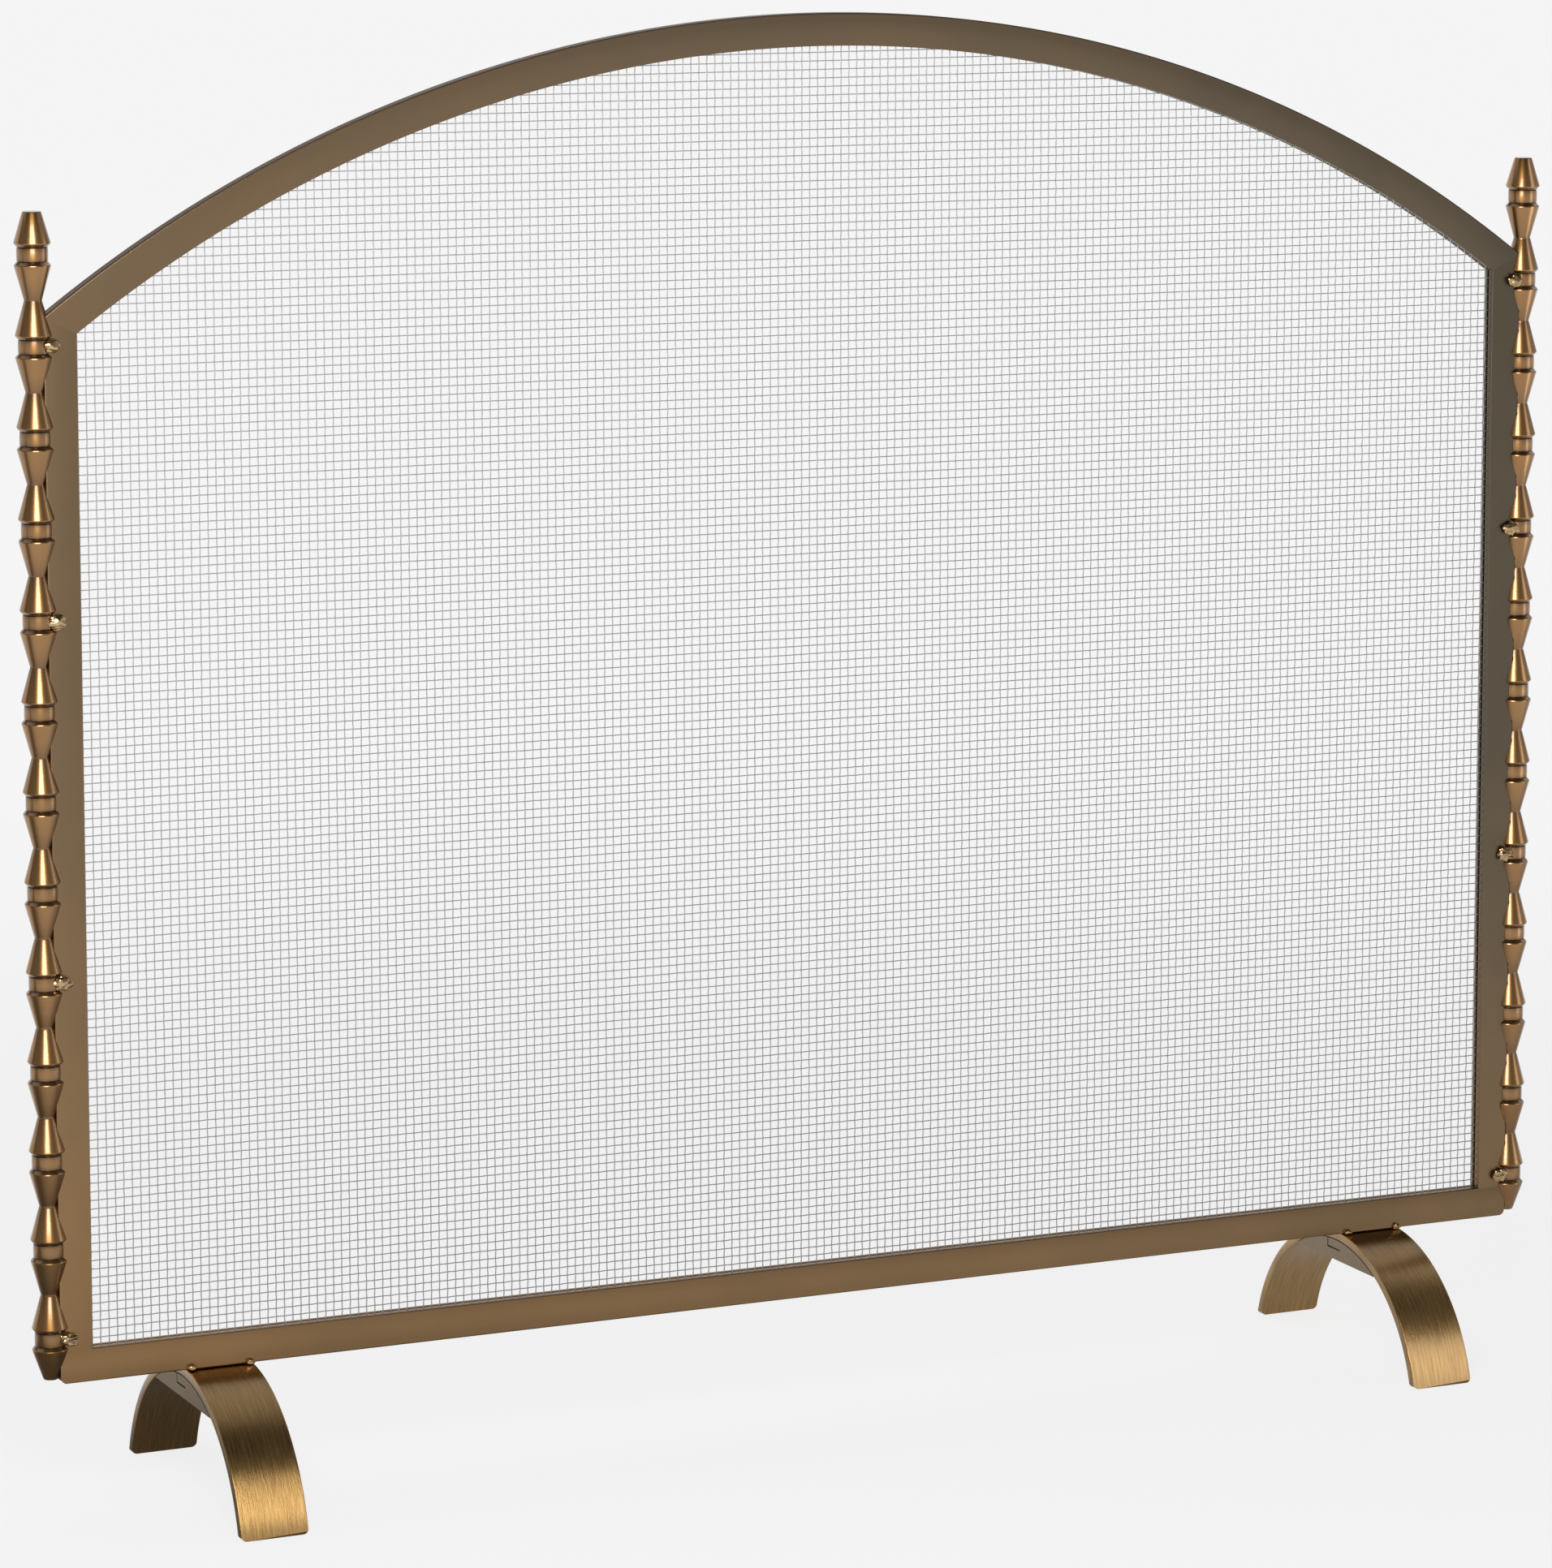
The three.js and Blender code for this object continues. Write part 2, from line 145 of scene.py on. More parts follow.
# painted shade: the glow seen directly is lower close to the screen than across GLOW_ZONE and beyond
seen_glow_painted_shade = add_node(
    paper_tree, "ShaderNodeMapRange",
    {0: reach, 1: GLOW_ZONE[0], 2: GLOW_ZONE[1], 3: PAPER_GLOW[0], 4: PAPER_GLOW[1]},
    interpolation_type="SMOOTHSTEP",
)
direct = add_node(paper_tree, "ShaderNodeLightPath").outputs["Is Camera Ray"]
glow = add_node(
    paper_tree, "ShaderNodeMix",
    {"Factor": direct, 2: glow_in_metal_painted_shade.outputs[0], 3: seen_glow_painted_shade.outputs[0]}, data_type="FLOAT",
)
paper_shader.inputs["Emission Color"].default_value = (1.0, 1.0, 1.0, 1.0)
paper_tree.links.new(glow.outputs[0], paper_shader.inputs["Emission Strength"])
far = PAPER_HALF
paper_points = np.array([[-far, -far, 0.0], [far, -far, 0.0], [far, far, 0.0], [-far, far, 0.0]])
paper = add_mesh("paper_floor", paper_points, [(0, 1, 2, 3)], paper_material)

# Each soft box: place, width, height, power in watts, tilt up from the floor and turn in degrees,
# and whether a shield leaves it only the pieces put in its own collection.
SOFT_BOXES = {
    "front_box": ((-0.9, -1.6, 1.15), 0.9, 1.1, 25.0, 78, -14, False),
    "feet_box": ((0.6, -0.85, 0.34), 1.1, 0.5, 2.8, 70, 30, True),
    "posts_box": ((0.98, -0.52, 0.62), 0.25, 1.1, 1.3, 90, 43, True),
}
lit_by = {}
for name, (stand, width, tall, power, tilt, turn, shielded) in SOFT_BOXES.items():
    lamp = bpy.data.lights.new(name, "AREA")
    lamp.shape = "RECTANGLE"
    lamp.size, lamp.size_y = width, tall
    lamp.energy = power
    soft_box = bpy.data.objects.new(name, lamp)
    soft_box.location = stand
    soft_box.rotation_euler = (math.radians(tilt), 0.0, math.radians(turn))
    soft_box.visible_camera = False
    bpy.context.scene.collection.objects.link(soft_box)
    if shielded:
        lit_by[name] = bpy.data.collections.new(f"lit_by_{name}")
        soft_box.light_linking.receiver_collection = lit_by[name]

world = bpy.data.worlds.new("studio")
world.use_nodes = True
bpy.context.scene.world = world
sky = world.node_tree
sky.nodes.clear()
direction = add_node(sky, "ShaderNodeTexCoord").outputs["Generated"]
axis = add_node(sky, "ShaderNodeSeparateXYZ", {0: direction})
forward = add_node(sky, "ShaderNodeMath", {0: axis.outputs[1], 1: -1.0}, operation="MULTIPLY").outputs[0]
azimuth = add_node(sky, "ShaderNodeMath", {0: axis.outputs[0], 1: forward}, operation="ARCTAN2").outputs[0]
height = add_node(sky, "ShaderNodeMath", {0: axis.outputs[2]}, operation="ARCSINE").outputs[0]
lean = add_node(
    sky, "ShaderNodeMath", {0: axis.outputs[1], 1: axis.outputs[2]}, operation="ARCTAN2",
).outputs[0]


def window(value, low, high, soft):
    """One inside low..high degrees, fading to nothing over soft degrees outside it."""
    sides = []
    for outside, inside in ((low - soft, low), (high + soft, high)):
        ends = {0: value, 1: math.radians(outside), 2: math.radians(inside)}
        sides.append(add_node(sky, "ShaderNodeMapRange", ends, interpolation_type="SMOOTHSTEP").outputs[0])
    return add_node(sky, "ShaderNodeMath", {0: sides[0], 1: sides[1]}, operation="MULTIPLY").outputs[0]


# Each bank: angle read, from, to, height from, to, softness, strength. Azimuth 0 is in front, and
# lean is 0 overhead and grows towards the back.
BANKS = [
    (azimuth, -100, 60, 4, 28, 8, 0.2),
    (azimuth, 60, 130, 4, 36, 12, 0.35),
    (azimuth, 130, 180, 4, 20, 8, 0.8),
    (azimuth, -180, -120, 4, 20, 8, 0.8),
    (lean, 6, 42, 30, 91, 8, 0.6),
]
AMBIENT = 0.035
light = None
for angle, start, stop, up_from, up_to, soft, brightness in BANKS:
    across = window(angle, start, stop, soft)
    upward = window(height, up_from, up_to, soft)
    lit = add_node(sky, "ShaderNodeMath", {0: across, 1: upward}, operation="MULTIPLY").outputs[0]
    terms = {0: lit, 1: brightness, 2: AMBIENT if light is None else light}
    light = add_node(sky, "ShaderNodeMath", terms, operation="MULTIPLY_ADD").outputs[0]
# seen directly, the room beyond the paper is the same even white as the paper's far end
ROOM_GLOW = 0.915
direct = add_node(sky, "ShaderNodeLightPath").outputs["Is Camera Ray"]
glow = add_node(sky, "ShaderNodeMix", {"Factor": direct, 2: light, 3: ROOM_GLOW}, data_type="FLOAT")
background = add_node(sky, "ShaderNodeBackground", {"Color": (1, 1, 1, 1), "Strength": glow.outputs[0]})
add_node(sky, "ShaderNodeOutputWorld", {"Surface": background.outputs[0]})
bpy.context.scene.view_settings.view_transform = "Standard"


# ---------------------------------------------------------------------------------------------
# Posts. Solid brass rod turned between centres to thirteen collars with sharp rims and straight
# cones, tinted antique and lacquered. A slot down the inner side takes the edge of the panel.
# ---------------------------------------------------------------------------------------------
COLLARS = 13
POST_TIP = 17.2 * MM
RIM_OFFSET = 6.3 * MM
COLLAR_RADIUS = 8.65 * MM
COLLAR_HALF = 3.9 * MM
WAIST_RADIUS = 5.0 * MM
TIP_RADII = (4.5 * MM, 5.5 * MM)
POST_SIDES = 56
SLOT_CLEARANCE = 0.15 * MM


def grid_faces(rows, columns, wrap=True):
    """Quads of a grid of points laid out row by row; wrap joins the last column to the first."""
    row = np.arange(rows - 1)[:, None] * columns
    column = np.arange(columns if wrap else columns - 1)[None, :]
    after = (column + 1) % columns
    quads = np.stack([row + column, row + after, row + columns + after, row + columns + column], -1)
    return quads.reshape(-1, 4).tolist()


def post_outline(length, rim_radius):
    """Height, radius and groove depth up one post: tip, then collar, rim, cone and waist in turn."""
    pitch = (length - 2 * POST_TIP - 2 * RIM_OFFSET) / (COLLARS - 1)
    lip = 0.5 * MM
    # one collar: height from its middle, radius, how deep in the groove it lies
    collar = [
        (-RIM_OFFSET - lip, rim_radius - 0.1 * MM, 0.0),
        (-RIM_OFFSET, rim_radius, 0.0),
        (-RIM_OFFSET + lip, rim_radius - 0.12 * MM, 0.1),
        (-COLLAR_HALF - 0.4 * MM, COLLAR_RADIUS + 0.1 * MM, 0.8),
        (-COLLAR_HALF, COLLAR_RADIUS - 0.35 * MM, 1.0),
        (-COLLAR_HALF + 0.3 * MM, COLLAR_RADIUS, 0.7),
        (-COLLAR_HALF / 2, COLLAR_RADIUS + 0.08 * MM, 0.2),
        (0.0, COLLAR_RADIUS + 0.12 * MM, 0.1),
        (COLLAR_HALF / 2, COLLAR_RADIUS + 0.08 * MM, 0.2),
        (COLLAR_HALF - 0.3 * MM, COLLAR_RADIUS, 0.7),
        (COLLAR_HALF, COLLAR_RADIUS - 0.35 * MM, 1.0),
        (COLLAR_HALF + 0.4 * MM, COLLAR_RADIUS + 0.1 * MM, 0.8),
        (RIM_OFFSET - lip, rim_radius - 0.12 * MM, 0.1),
        (RIM_OFFSET, rim_radius, 0.0),
        (RIM_OFFSET + lip, rim_radius - 0.1 * MM, 0.0),
    ]
    half_cone = pitch / 2 - RIM_OFFSET
    slope = (rim_radius - WAIST_RADIUS) / half_cone
    waist = [
        (-half_cone * 0.5, WAIST_RADIUS + slope * half_cone * 0.5, 0.1),
        (-1.2 * MM, WAIST_RADIUS + slope * 1.2 * MM, 0.4),
        (-0.5 * MM, WAIST_RADIUS + 0.05 * MM, 0.6),
        (0.5 * MM, WAIST_RADIUS + 0.05 * MM, 0.6),
        (1.2 * MM, WAIST_RADIUS + slope * 1.2 * MM, 0.4),
        (half_cone * 0.5, WAIST_RADIUS + slope * half_cone * 0.5, 0.1),
    ]
    chamfer = 0.9 * MM
    outline = [(0.0, TIP_RADII[0] - chamfer / 2, 0.3), (chamfer, TIP_RADII[0], 0.1)]
    for turn in range(COLLARS):
        middle = POST_TIP + RIM_OFFSET + turn * pitch
        outline += [(middle + z, r, g) for z, r, g in collar]
        if turn < COLLARS - 1:
            outline += [(middle + pitch / 2 + z, r, g) for z, r, g in waist]
    outline += [(length - chamfer, TIP_RADII[1], 0.1), (length, TIP_RADII[1] - chamfer / 2, 0.3)]
    return np.array(outline)


def turned_brass_material():
    """Cartridge brass, turned, stained antique brown and lacquered: fine rings round the work, dark
    stain left in the grooves, and a clear narrow highlight."""
    material, tree, shader = start_material("turned_antique_brass", 1.0, 0.3)
    shader.inputs["Coat Weight"].default_value = 1.0
    shader.inputs["Coat Roughness"].default_value = 0.11
    shader.inputs["Coat IOR"].default_value = 1.6
    place = add_node(tree, "ShaderNodeTexCoord").outputs["Object"]
    groove = add_node(tree, "ShaderNodeAttribute", attribute_name="groove").outputs["Fac"]
    cloud = add_node(tree, "ShaderNodeTexNoise", {"Vector": place, "Scale": 60.0, "Detail": 4.0})
    stain = add_node(
        tree, "ShaderNodeMath", {0: cloud.outputs["Fac"], 1: 0.45, 2: groove}, operation="MULTIPLY_ADD",
    ).outputs[0]
    amount = add_node(tree, "ShaderNodeMapRange", {0: stain, 1: 0.1, 2: 1.2, 3: 0.0, 4: 0.85})
    colour = add_node(
        tree, "ShaderNodeMix",
        {"Factor": amount.outputs[0], "A": linear("A4773F"), "B": linear("3A220E")}, data_type="RGBA",
    )
    tree.links.new(colour.outputs["Result"], shader.inputs["Base Color"])
    # tool rings 0.7 mm apart, coarser than the real feed so that they show
    squeeze = add_node(tree, "ShaderNodeMapping", {"Vector": place, "Scale": (0.0, 0.0, 1.0)})
    rings = add_node(
        tree, "ShaderNodeTexNoise", {"Vector": squeeze.outputs[0], "Scale": 1400.0, "Detail": 2.0},
    )
    relief = {"Height": rings.outputs["Fac"], "Strength": 0.04, "Distance": 0.2 * MM}
    tree.links.new(add_node(tree, "ShaderNodeBump", relief).outputs[0], shader.inputs["Normal"])
    rough = add_node(tree, "ShaderNodeMapRange", {0: stain, 1: 0.0, 2: 1.2, 3: 0.24, 4: 0.5})
    tree.links.new(rough.outputs[0], shader.inputs["Roughness"])
    return material


def panel_slot_cutter(name, low, high, tops):
    """A box between two corners whose top slopes like the end of the arch, used to cut the slot and
    then removed. tops holds the height of its top on the low side and on the high side."""
    pick = np.array([[i & 1, (i >> 1) & 1, (i >> 2) & 1] for i in range(8)])
    points = np.where(pick == 1, high, low)
    points[4:, 2] = np.array(tops)[pick[4:, 0]]
    faces = [(0, 2, 3, 1), (4, 5, 7, 6), (0, 1, 5, 4), (2, 6, 7, 3), (0, 4, 6, 2), (1, 3, 7, 5)]
    mesh = bpy.data.meshes.new(name)
    mesh.from_pydata(points.tolist(), [], faces)
    cutter = bpy.data.objects.new(name, mesh)
    bpy.context.scene.collection.objects.link(cutter)
    return cutter


def cut_out(piece, cutter):
    """Takes the cutter's solid out of the piece for good, and removes the cutter."""
    modifier = piece.modifiers.new("slot", "BOOLEAN")
    modifier.operation = "DIFFERENCE"
    modifier.solver = "EXACT"
    modifier.object = cutter
    bpy.context.view_layer.update()
    finished = bpy.data.meshes.new_from_object(piece.evaluated_get(bpy.context.evaluated_depsgraph_get()))
    piece.modifiers.clear()
    piece.data = finished
    bpy.data.objects.remove(cutter)


turned_brass = turned_brass_material()
rail_low, rail_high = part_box("bottom_rail")
panel_front = rail_low.y
panel_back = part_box("bottom_rail_retainer")[1].y
stile_low, stile_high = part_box("right_stile")
bar_width = rail_high.z - rail_low.z
inner_x, outer_x = stile_low.x, stile_high.x
arch_low, arch_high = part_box("arch_rail")
spring = arch_low.z
# the arch's inner edge is one circle through both springing points and the underside of the top
arch_rise = arch_high.z - bar_width - spring
inner_radius = (inner_x ** 2 + arch_rise ** 2) / (2 * arch_rise)
arch_centre = arch_high.z - bar_width - inner_radius
outer_spring = arch_centre + math.sqrt((inner_radius + bar_width) ** 2 - outer_x ** 2)
over_inner = arch_centre + math.sqrt((inner_radius + bar_width) ** 2 - inner_x ** 2)
for side, label in ((-1, "left"), (1, "right")):
    low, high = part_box(f"{label}_post")
    centre_x, centre_y = (low.x + high.x) / 2, (low.y + high.y) / 2
    outline = post_outline(high.z - low.z, (high.y - low.y) / 2)
    around = np.arange(POST_SIDES) * 2 * math.pi / POST_SIDES
    x = centre_x + outline[:, 1:2] * np.cos(around)
    y = centre_y + outline[:, 1:2] * np.sin(around)
    z = low.z + outline[:, 0:1] + 0 * around
    points = np.stack([x, y, z], -1).reshape(-1, 3)
    rows = len(outline)
    faces = grid_faces(rows, POST_SIDES)
    faces.append(list(range(POST_SIDES))[::-1])
    faces.append(list(range((rows - 1) * POST_SIDES, rows * POST_SIDES)))
    post = add_mesh(f"{label}_turned_post", points, faces, turned_brass)
    mark = post.data.attributes.new("groove", "FLOAT", "POINT")
    mark.data.foreach_set("value", np.repeat(outline[:, 2], POST_SIDES).astype(np.float32))
    slot_sides = sorted([side * inner_x, side * (outer_x + SLOT_CLEARANCE)])
    slot_low = np.array([slot_sides[0], panel_front - SLOT_CLEARANCE, low.z - bar_width])
    slot_high = np.array([slot_sides[1], panel_back + SLOT_CLEARANCE, over_inner])
    slot_tops = [over_inner + SLOT_CLEARANCE, outer_spring + SLOT_CLEARANCE][::side]
    cut_out(post, panel_slot_cutter("slot_cutter", slot_low, slot_high, slot_tops))
    post.data.shade_smooth()
    post.data.set_sharp_from_angle(angle=math.radians(24))
    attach(post, "root")
    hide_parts(f"{label}_post")
    lit_by["posts_box"].objects.link(post)


# ---------------------------------------------------------------------------------------------
# Frame. Steel bar, 19 mm wide, mitred under the arch and butted at the bottom, bronzed satin. The
# front bars have a rebate for the wire cloth; a thinner set of the same outline clamps its edge.
# ---------------------------------------------------------------------------------------------
BAR_EDGE = 0.5 * MM
OUTER_CORNER = 4.0 * MM
LIP_WIDTH = 1.7 * MM
FRONT_DEPTH = 4.8 * MM
ARCH_STATIONS = 97

rail_top = rail_high.z


def bar_section(front, back, lip_back=None):
    """A flat bar's section with softened edges: offset outward from the inner edge, and depth. With
    lip_back the outer edge runs deeper, as a thin lip outside the cloth. Points crowd to the outside."""
    turn = np.linspace(0, math.pi / 2, 4)

    def corner(u, v, start):
        return [(u + BAR_EDGE * math.cos(start + a), v + BAR_EDGE * math.sin(start + a)) for a in turn]

    crowd = bar_width - OUTER_CORNER * np.linspace(1.0, 0.25, 6)
    section = corner(BAR_EDGE, front + BAR_EDGE, math.pi)
    section += [(u, front) for u in crowd]
    section += corner(bar_width - BAR_EDGE, front + BAR_EDGE, 1.5 * math.pi)
    if lip_back is None:
        section += corner(bar_width - BAR_EDGE, back - BAR_EDGE, 0.0)
        section += [(u, back) for u in crowd[::-1]]
    else:
        section += [(bar_width, lip_back), (bar_width - LIP_WIDTH, lip_back), (bar_width - LIP_WIDTH, back)]
        section += [(u, back) for u in crowd[::-1] if u < bar_width - LIP_WIDTH - 0.1 * MM]
    section += corner(BAR_EDGE, back - BAR_EDGE, 0.5 * math.pi)
    return np.array(section)


def stile_points(section, side):
    """Rows up a stile: each section point runs straight up to the mitre. The lower end is let into the
    rail's softened edge, so that no seam shows where the joint was dressed."""
    u, v = section[:, 0], section[:, 1]
    start = rail_top - BAR_EDGE
    finish = spring + (outer_spring - spring) * u / bar_width
    share = np.linspace(0, 1, 12)
    up = start + share[:, None] * (finish - start)
    return np.stack([side * (inner_x + u) + 0 * up, v + 0 * up, up], -1)


def rail_points(section):
    """Rows along the bottom rail. Low section points stop short, on the rounded outer corners."""
    u, v = section[:, 0], section[:, 1]
    into = np.clip(u - (bar_width - OUTER_CORNER), 0, OUTER_CORNER)
    half = outer_x - OUTER_CORNER + np.sqrt(OUTER_CORNER ** 2 - into ** 2)
    across = np.linspace(-1, 1, 24)[:, None] * half
    return np.stack([across, v + 0 * across, rail_top - u + 0 * across], -1)


def arch_points(section):
    """Rows round the arch: each section point keeps its radius and stops on the mitre line."""
    u, v = section[:, 0], section[:, 1]
    radius = inner_radius + u
    step = np.array([outer_x - inner_x, outer_spring - spring])
    corner_in = np.array([inner_x, spring - arch_centre])
    a, b = step @ step, corner_in @ step
    c = corner_in @ corner_in - radius ** 2
    along = (-b + np.sqrt(np.maximum(b * b - a * c, 0))) / a
    end_angle = np.arcsin((inner_x + along * step[0]) / radius)
    angle = np.linspace(1, -1, ARCH_STATIONS)[:, None] * end_angle
    across = radius * np.sin(angle)
    up = arch_centre + radius * np.cos(angle)
    return np.stack([across, v + 0 * up, up], -1)


def capped_sweep(rows, flip):
    """Joins rows of section points into a closed bar with a flat face on each end."""
    count, sides = rows.shape[:2]
    faces = grid_faces(count, sides)
    faces.append(list(range(sides))[::-1])
    faces.append(list(range((count - 1) * sides, count * sides)))
    if flip:
        faces = [face[::-1] for face in faces]
    return rows.reshape(-1, 3), faces


def bronzed_steel_material():
    """Mild steel flat bar, bronze plated and lacquered satin: soft reflections, slight clouding, a
    fine grit, and painted shade that makes the colour greyer and darker towards the top and the right."""
    material, tree, shader = start_material("bronzed_flat_bar", 1.0, 0.42)
    place = add_node(tree, "ShaderNodeTexCoord").outputs["Object"]
    cloud = add_node(
        tree, "ShaderNodeTexNoise", {"Vector": place, "Scale": 9.0, "Detail": 5.0, "Roughness": 0.6},
    ).outputs["Fac"]
    spot = add_node(tree, "ShaderNodeSeparateXYZ", {0: place})
    # painted shade: the colour turns greyer and darker up the frame and towards its right
    rise = add_node(tree, "ShaderNodeMapRange", {0: spot.outputs[2], 1: 0.1, 2: 0.37, 3: 0.0, 4: 0.54})
    over = add_node(tree, "ShaderNodeMapRange", {0: spot.outputs[0], 1: -0.47, 2: 0.47, 3: -0.2, 4: 0.26})
    painted_shade_up_and_right = add_node(tree, "ShaderNodeMath", {0: rise.outputs[0], 1: over.outputs[0]}, operation="ADD")
    tone = add_node(
        tree, "ShaderNodeMath", {0: cloud, 1: 0.4, 2: painted_shade_up_and_right.outputs[0]}, operation="MULTIPLY_ADD",
    )
    # B is the greyer, darker colour that both the clouding and the painted shade lean to
    colour = add_node(
        tree, "ShaderNodeMix",
        {"Factor": tone.outputs[0], "A": linear("9E7D57"), "B": linear("6B6152")}, data_type="RGBA",
    )
    tree.links.new(colour.outputs["Result"], shader.inputs["Base Color"])
    grit = add_node(tree, "ShaderNodeTexNoise", {"Vector": place, "Scale": 900.0, "Detail": 3.0})
    relief = {"Height": grit.outputs["Fac"], "Strength": 0.08, "Distance": 0.2 * MM}
    tree.links.new(add_node(tree, "ShaderNodeBump", relief).outputs[0], shader.inputs["Normal"])
    rough = add_node(tree, "ShaderNodeMapRange", {0: cloud, 1: 0.3, 2: 0.7, 3: 0.3, 4: 0.37})
    tree.links.new(rough.outputs[0], shader.inputs["Roughness"])
    return material


bronzed_steel = bronzed_steel_material()
bars = [
    ("left_stile", lambda section: stile_points(section, -1), False),
    ("right_stile", lambda section: stile_points(section, 1), True),
    ("bottom_rail", rail_points, True),
    ("arch_rail", arch_points, True),
]
for node, points_of, flip in bars:
    low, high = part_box(node)
    back_low, back_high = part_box(f"{node}_retainer")
    sections = {
        (node, f"{node}_bar"): bar_section(low.y, low.y + FRONT_DEPTH, high.y),
        (f"{node}_retainer", f"{node}_back_bar"): bar_section(back_low.y, back_high.y),
    }
    for (cad_node, name), section in sections.items():
        points, faces = capped_sweep(points_of(section), flip)
        bar = add_mesh(name, points, faces, bronzed_steel, smooth_angle=35)
        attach(bar, "root")
        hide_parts(cad_node)


# ---------------------------------------------------------------------------------------------
# Wire cloth. Plain weave of drawn steel wire at a 5 mm pitch, each wire bent over and under its
# neighbours. Its edge is clamped between the two sets of bars.
# ---------------------------------------------------------------------------------------------
WIRE_RADIUS = 0.32 * MM
PITCH_ACROSS = 5.0 * MM
PITCH_UP = 4.95 * MM
WIRE_SIDES = 6
CLOTH_HOLD = 5.5 * MM
CLOTH_BANDS = 3

cloth_low, cloth_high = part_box("wire_cloth")
cloth_middle = (cloth_low.y + cloth_high.y) / 2


def crossings():
    """Places of the crossings, and which of them lie inside the bars' inner edge plus the hold."""
    reach = inner_x + CLOTH_HOLD
    count_x = int(reach / PITCH_ACROSS)
    x = np.arange(-count_x, count_x + 1) * PITCH_ACROSS
    base = rail_top - CLOTH_HOLD
    z = np.arange(base, arch_high.z - bar_width + CLOTH_HOLD, PITCH_UP)
    top = arch_centre + np.sqrt((inner_radius + CLOTH_HOLD) ** 2 - x ** 2)
    return x, z, z[None, :] <= top[:, None]


def woven_wires(run, line, inside, weave, upright):
    """Round wires along one direction. run holds the crossing places along a wire and line those of
    the wires; the middle of a wire swings one radius to the front or back at every crossing."""
    wires, stations = inside.shape
    around = np.arange(WIRE_SIDES) * 2 * math.pi / WIRE_SIDES + math.pi / WIRE_SIDES
    along = np.broadcast_to(run[None, :, None], (wires, stations, WIRE_SIDES))
    side = line[:, None, None] + WIRE_RADIUS * np.cos(around)
    side = np.broadcast_to(side, (wires, stations, WIRE_SIDES))
    depth = cloth_middle + weave[:, :, None] * WIRE_RADIUS + WIRE_RADIUS * np.sin(around)
    parts = [side, depth, along] if upright else [along, depth, side]
    points = np.stack(parts, -1).reshape(-1, 3)
    ring = (np.arange(wires)[:, None] * stations + np.arange(stations)) * WIRE_SIDES
    joined = inside[:, :-1] & inside[:, 1:]
    near = ring[:, :-1][joined][:, None]
    far = ring[:, 1:][joined][:, None]
    k = np.arange(WIRE_SIDES)
    after = (k + 1) % WIRE_SIDES
    quads = np.stack([near + k, near + after, far + after, far + k], -1).reshape(-1, 4)
    used = np.zeros(len(points), bool)
    used[quads.ravel()] = True
    fresh = np.cumsum(used) - 1
    first = inside & ~np.pad(inside, ((0, 0), (1, 0)))[:, :-1]
    last = inside & ~np.pad(inside, ((0, 0), (0, 1)))[:, 1:]
    keep = used[ring]
    caps = [fresh[r + k[::-1]].tolist() for r in ring[first & keep]]
    caps += [fresh[r + k].tolist() for r in ring[last & keep]]
    faces = fresh[quads].tolist() + caps
    if not upright:
        faces = [face[::-1] for face in faces]
    return points[used], faces


def drawn_wire_material():
    """Bright drawn steel wire gone grey in the air: a dull even grey with small lighter specks."""
    material, tree, shader = start_material("drawn_steel_wire", 0.8, 0.5)
    place = add_node(tree, "ShaderNodeTexCoord").outputs["Object"]
    cloud = add_node(tree, "ShaderNodeTexNoise", {"Vector": place, "Scale": 180.0, "Detail": 3.0})
    colour = add_node(
        tree, "ShaderNodeMix",
        {"Factor": cloud.outputs["Fac"], "A": linear("B4B4B5"), "B": linear("CECECF")}, data_type="RGBA",
    )
    tree.links.new(colour.outputs["Result"], shader.inputs["Base Color"])
    return material


drawn_wire = drawn_wire_material()
cross_x, cross_z, inside = crossings()
i, j = np.meshgrid(np.arange(len(cross_x)), np.arange(len(cross_z)), indexing="ij")
weave = np.where((i + j) % 2 == 0, 1.0, -1.0)
cloth_pieces = []
for band, wires in enumerate(np.array_split(np.arange(len(cross_x)), CLOTH_BANDS)):
    points, faces = woven_wires(cross_z, cross_x[wires], inside[wires], weave[wires], True)
    cloth_pieces.append(add_mesh(f"upright_wires_{band + 1}", points, faces, drawn_wire, smooth_angle=70))
for band, wires in enumerate(np.array_split(np.arange(len(cross_z)), CLOTH_BANDS)):
    points, faces = woven_wires(cross_x, cross_z[wires], inside.T[wires], -weave.T[wires], False)
    cloth_pieces.append(add_mesh(f"level_wires_{band + 1}", points, faces, drawn_wire, smooth_angle=70))
for piece in cloth_pieces:
    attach(piece, "root")
    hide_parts("wire_cloth")


# ---------------------------------------------------------------------------------------------
# Feet. Brass strip, 40 by 5.5 mm, rolled to one radius, its corners rounded and its faces brushed
# along the strip. A D-shaped plate stiffens each edge under the crown.
# ---------------------------------------------------------------------------------------------
STRIP_THICKNESS = 5.5 * MM
STRIP_EDGE = 0.6 * MM
STRIP_CORNER = 3.5 * MM
STRIP_STATIONS = 73
STRIP_FACE_POINTS = 7


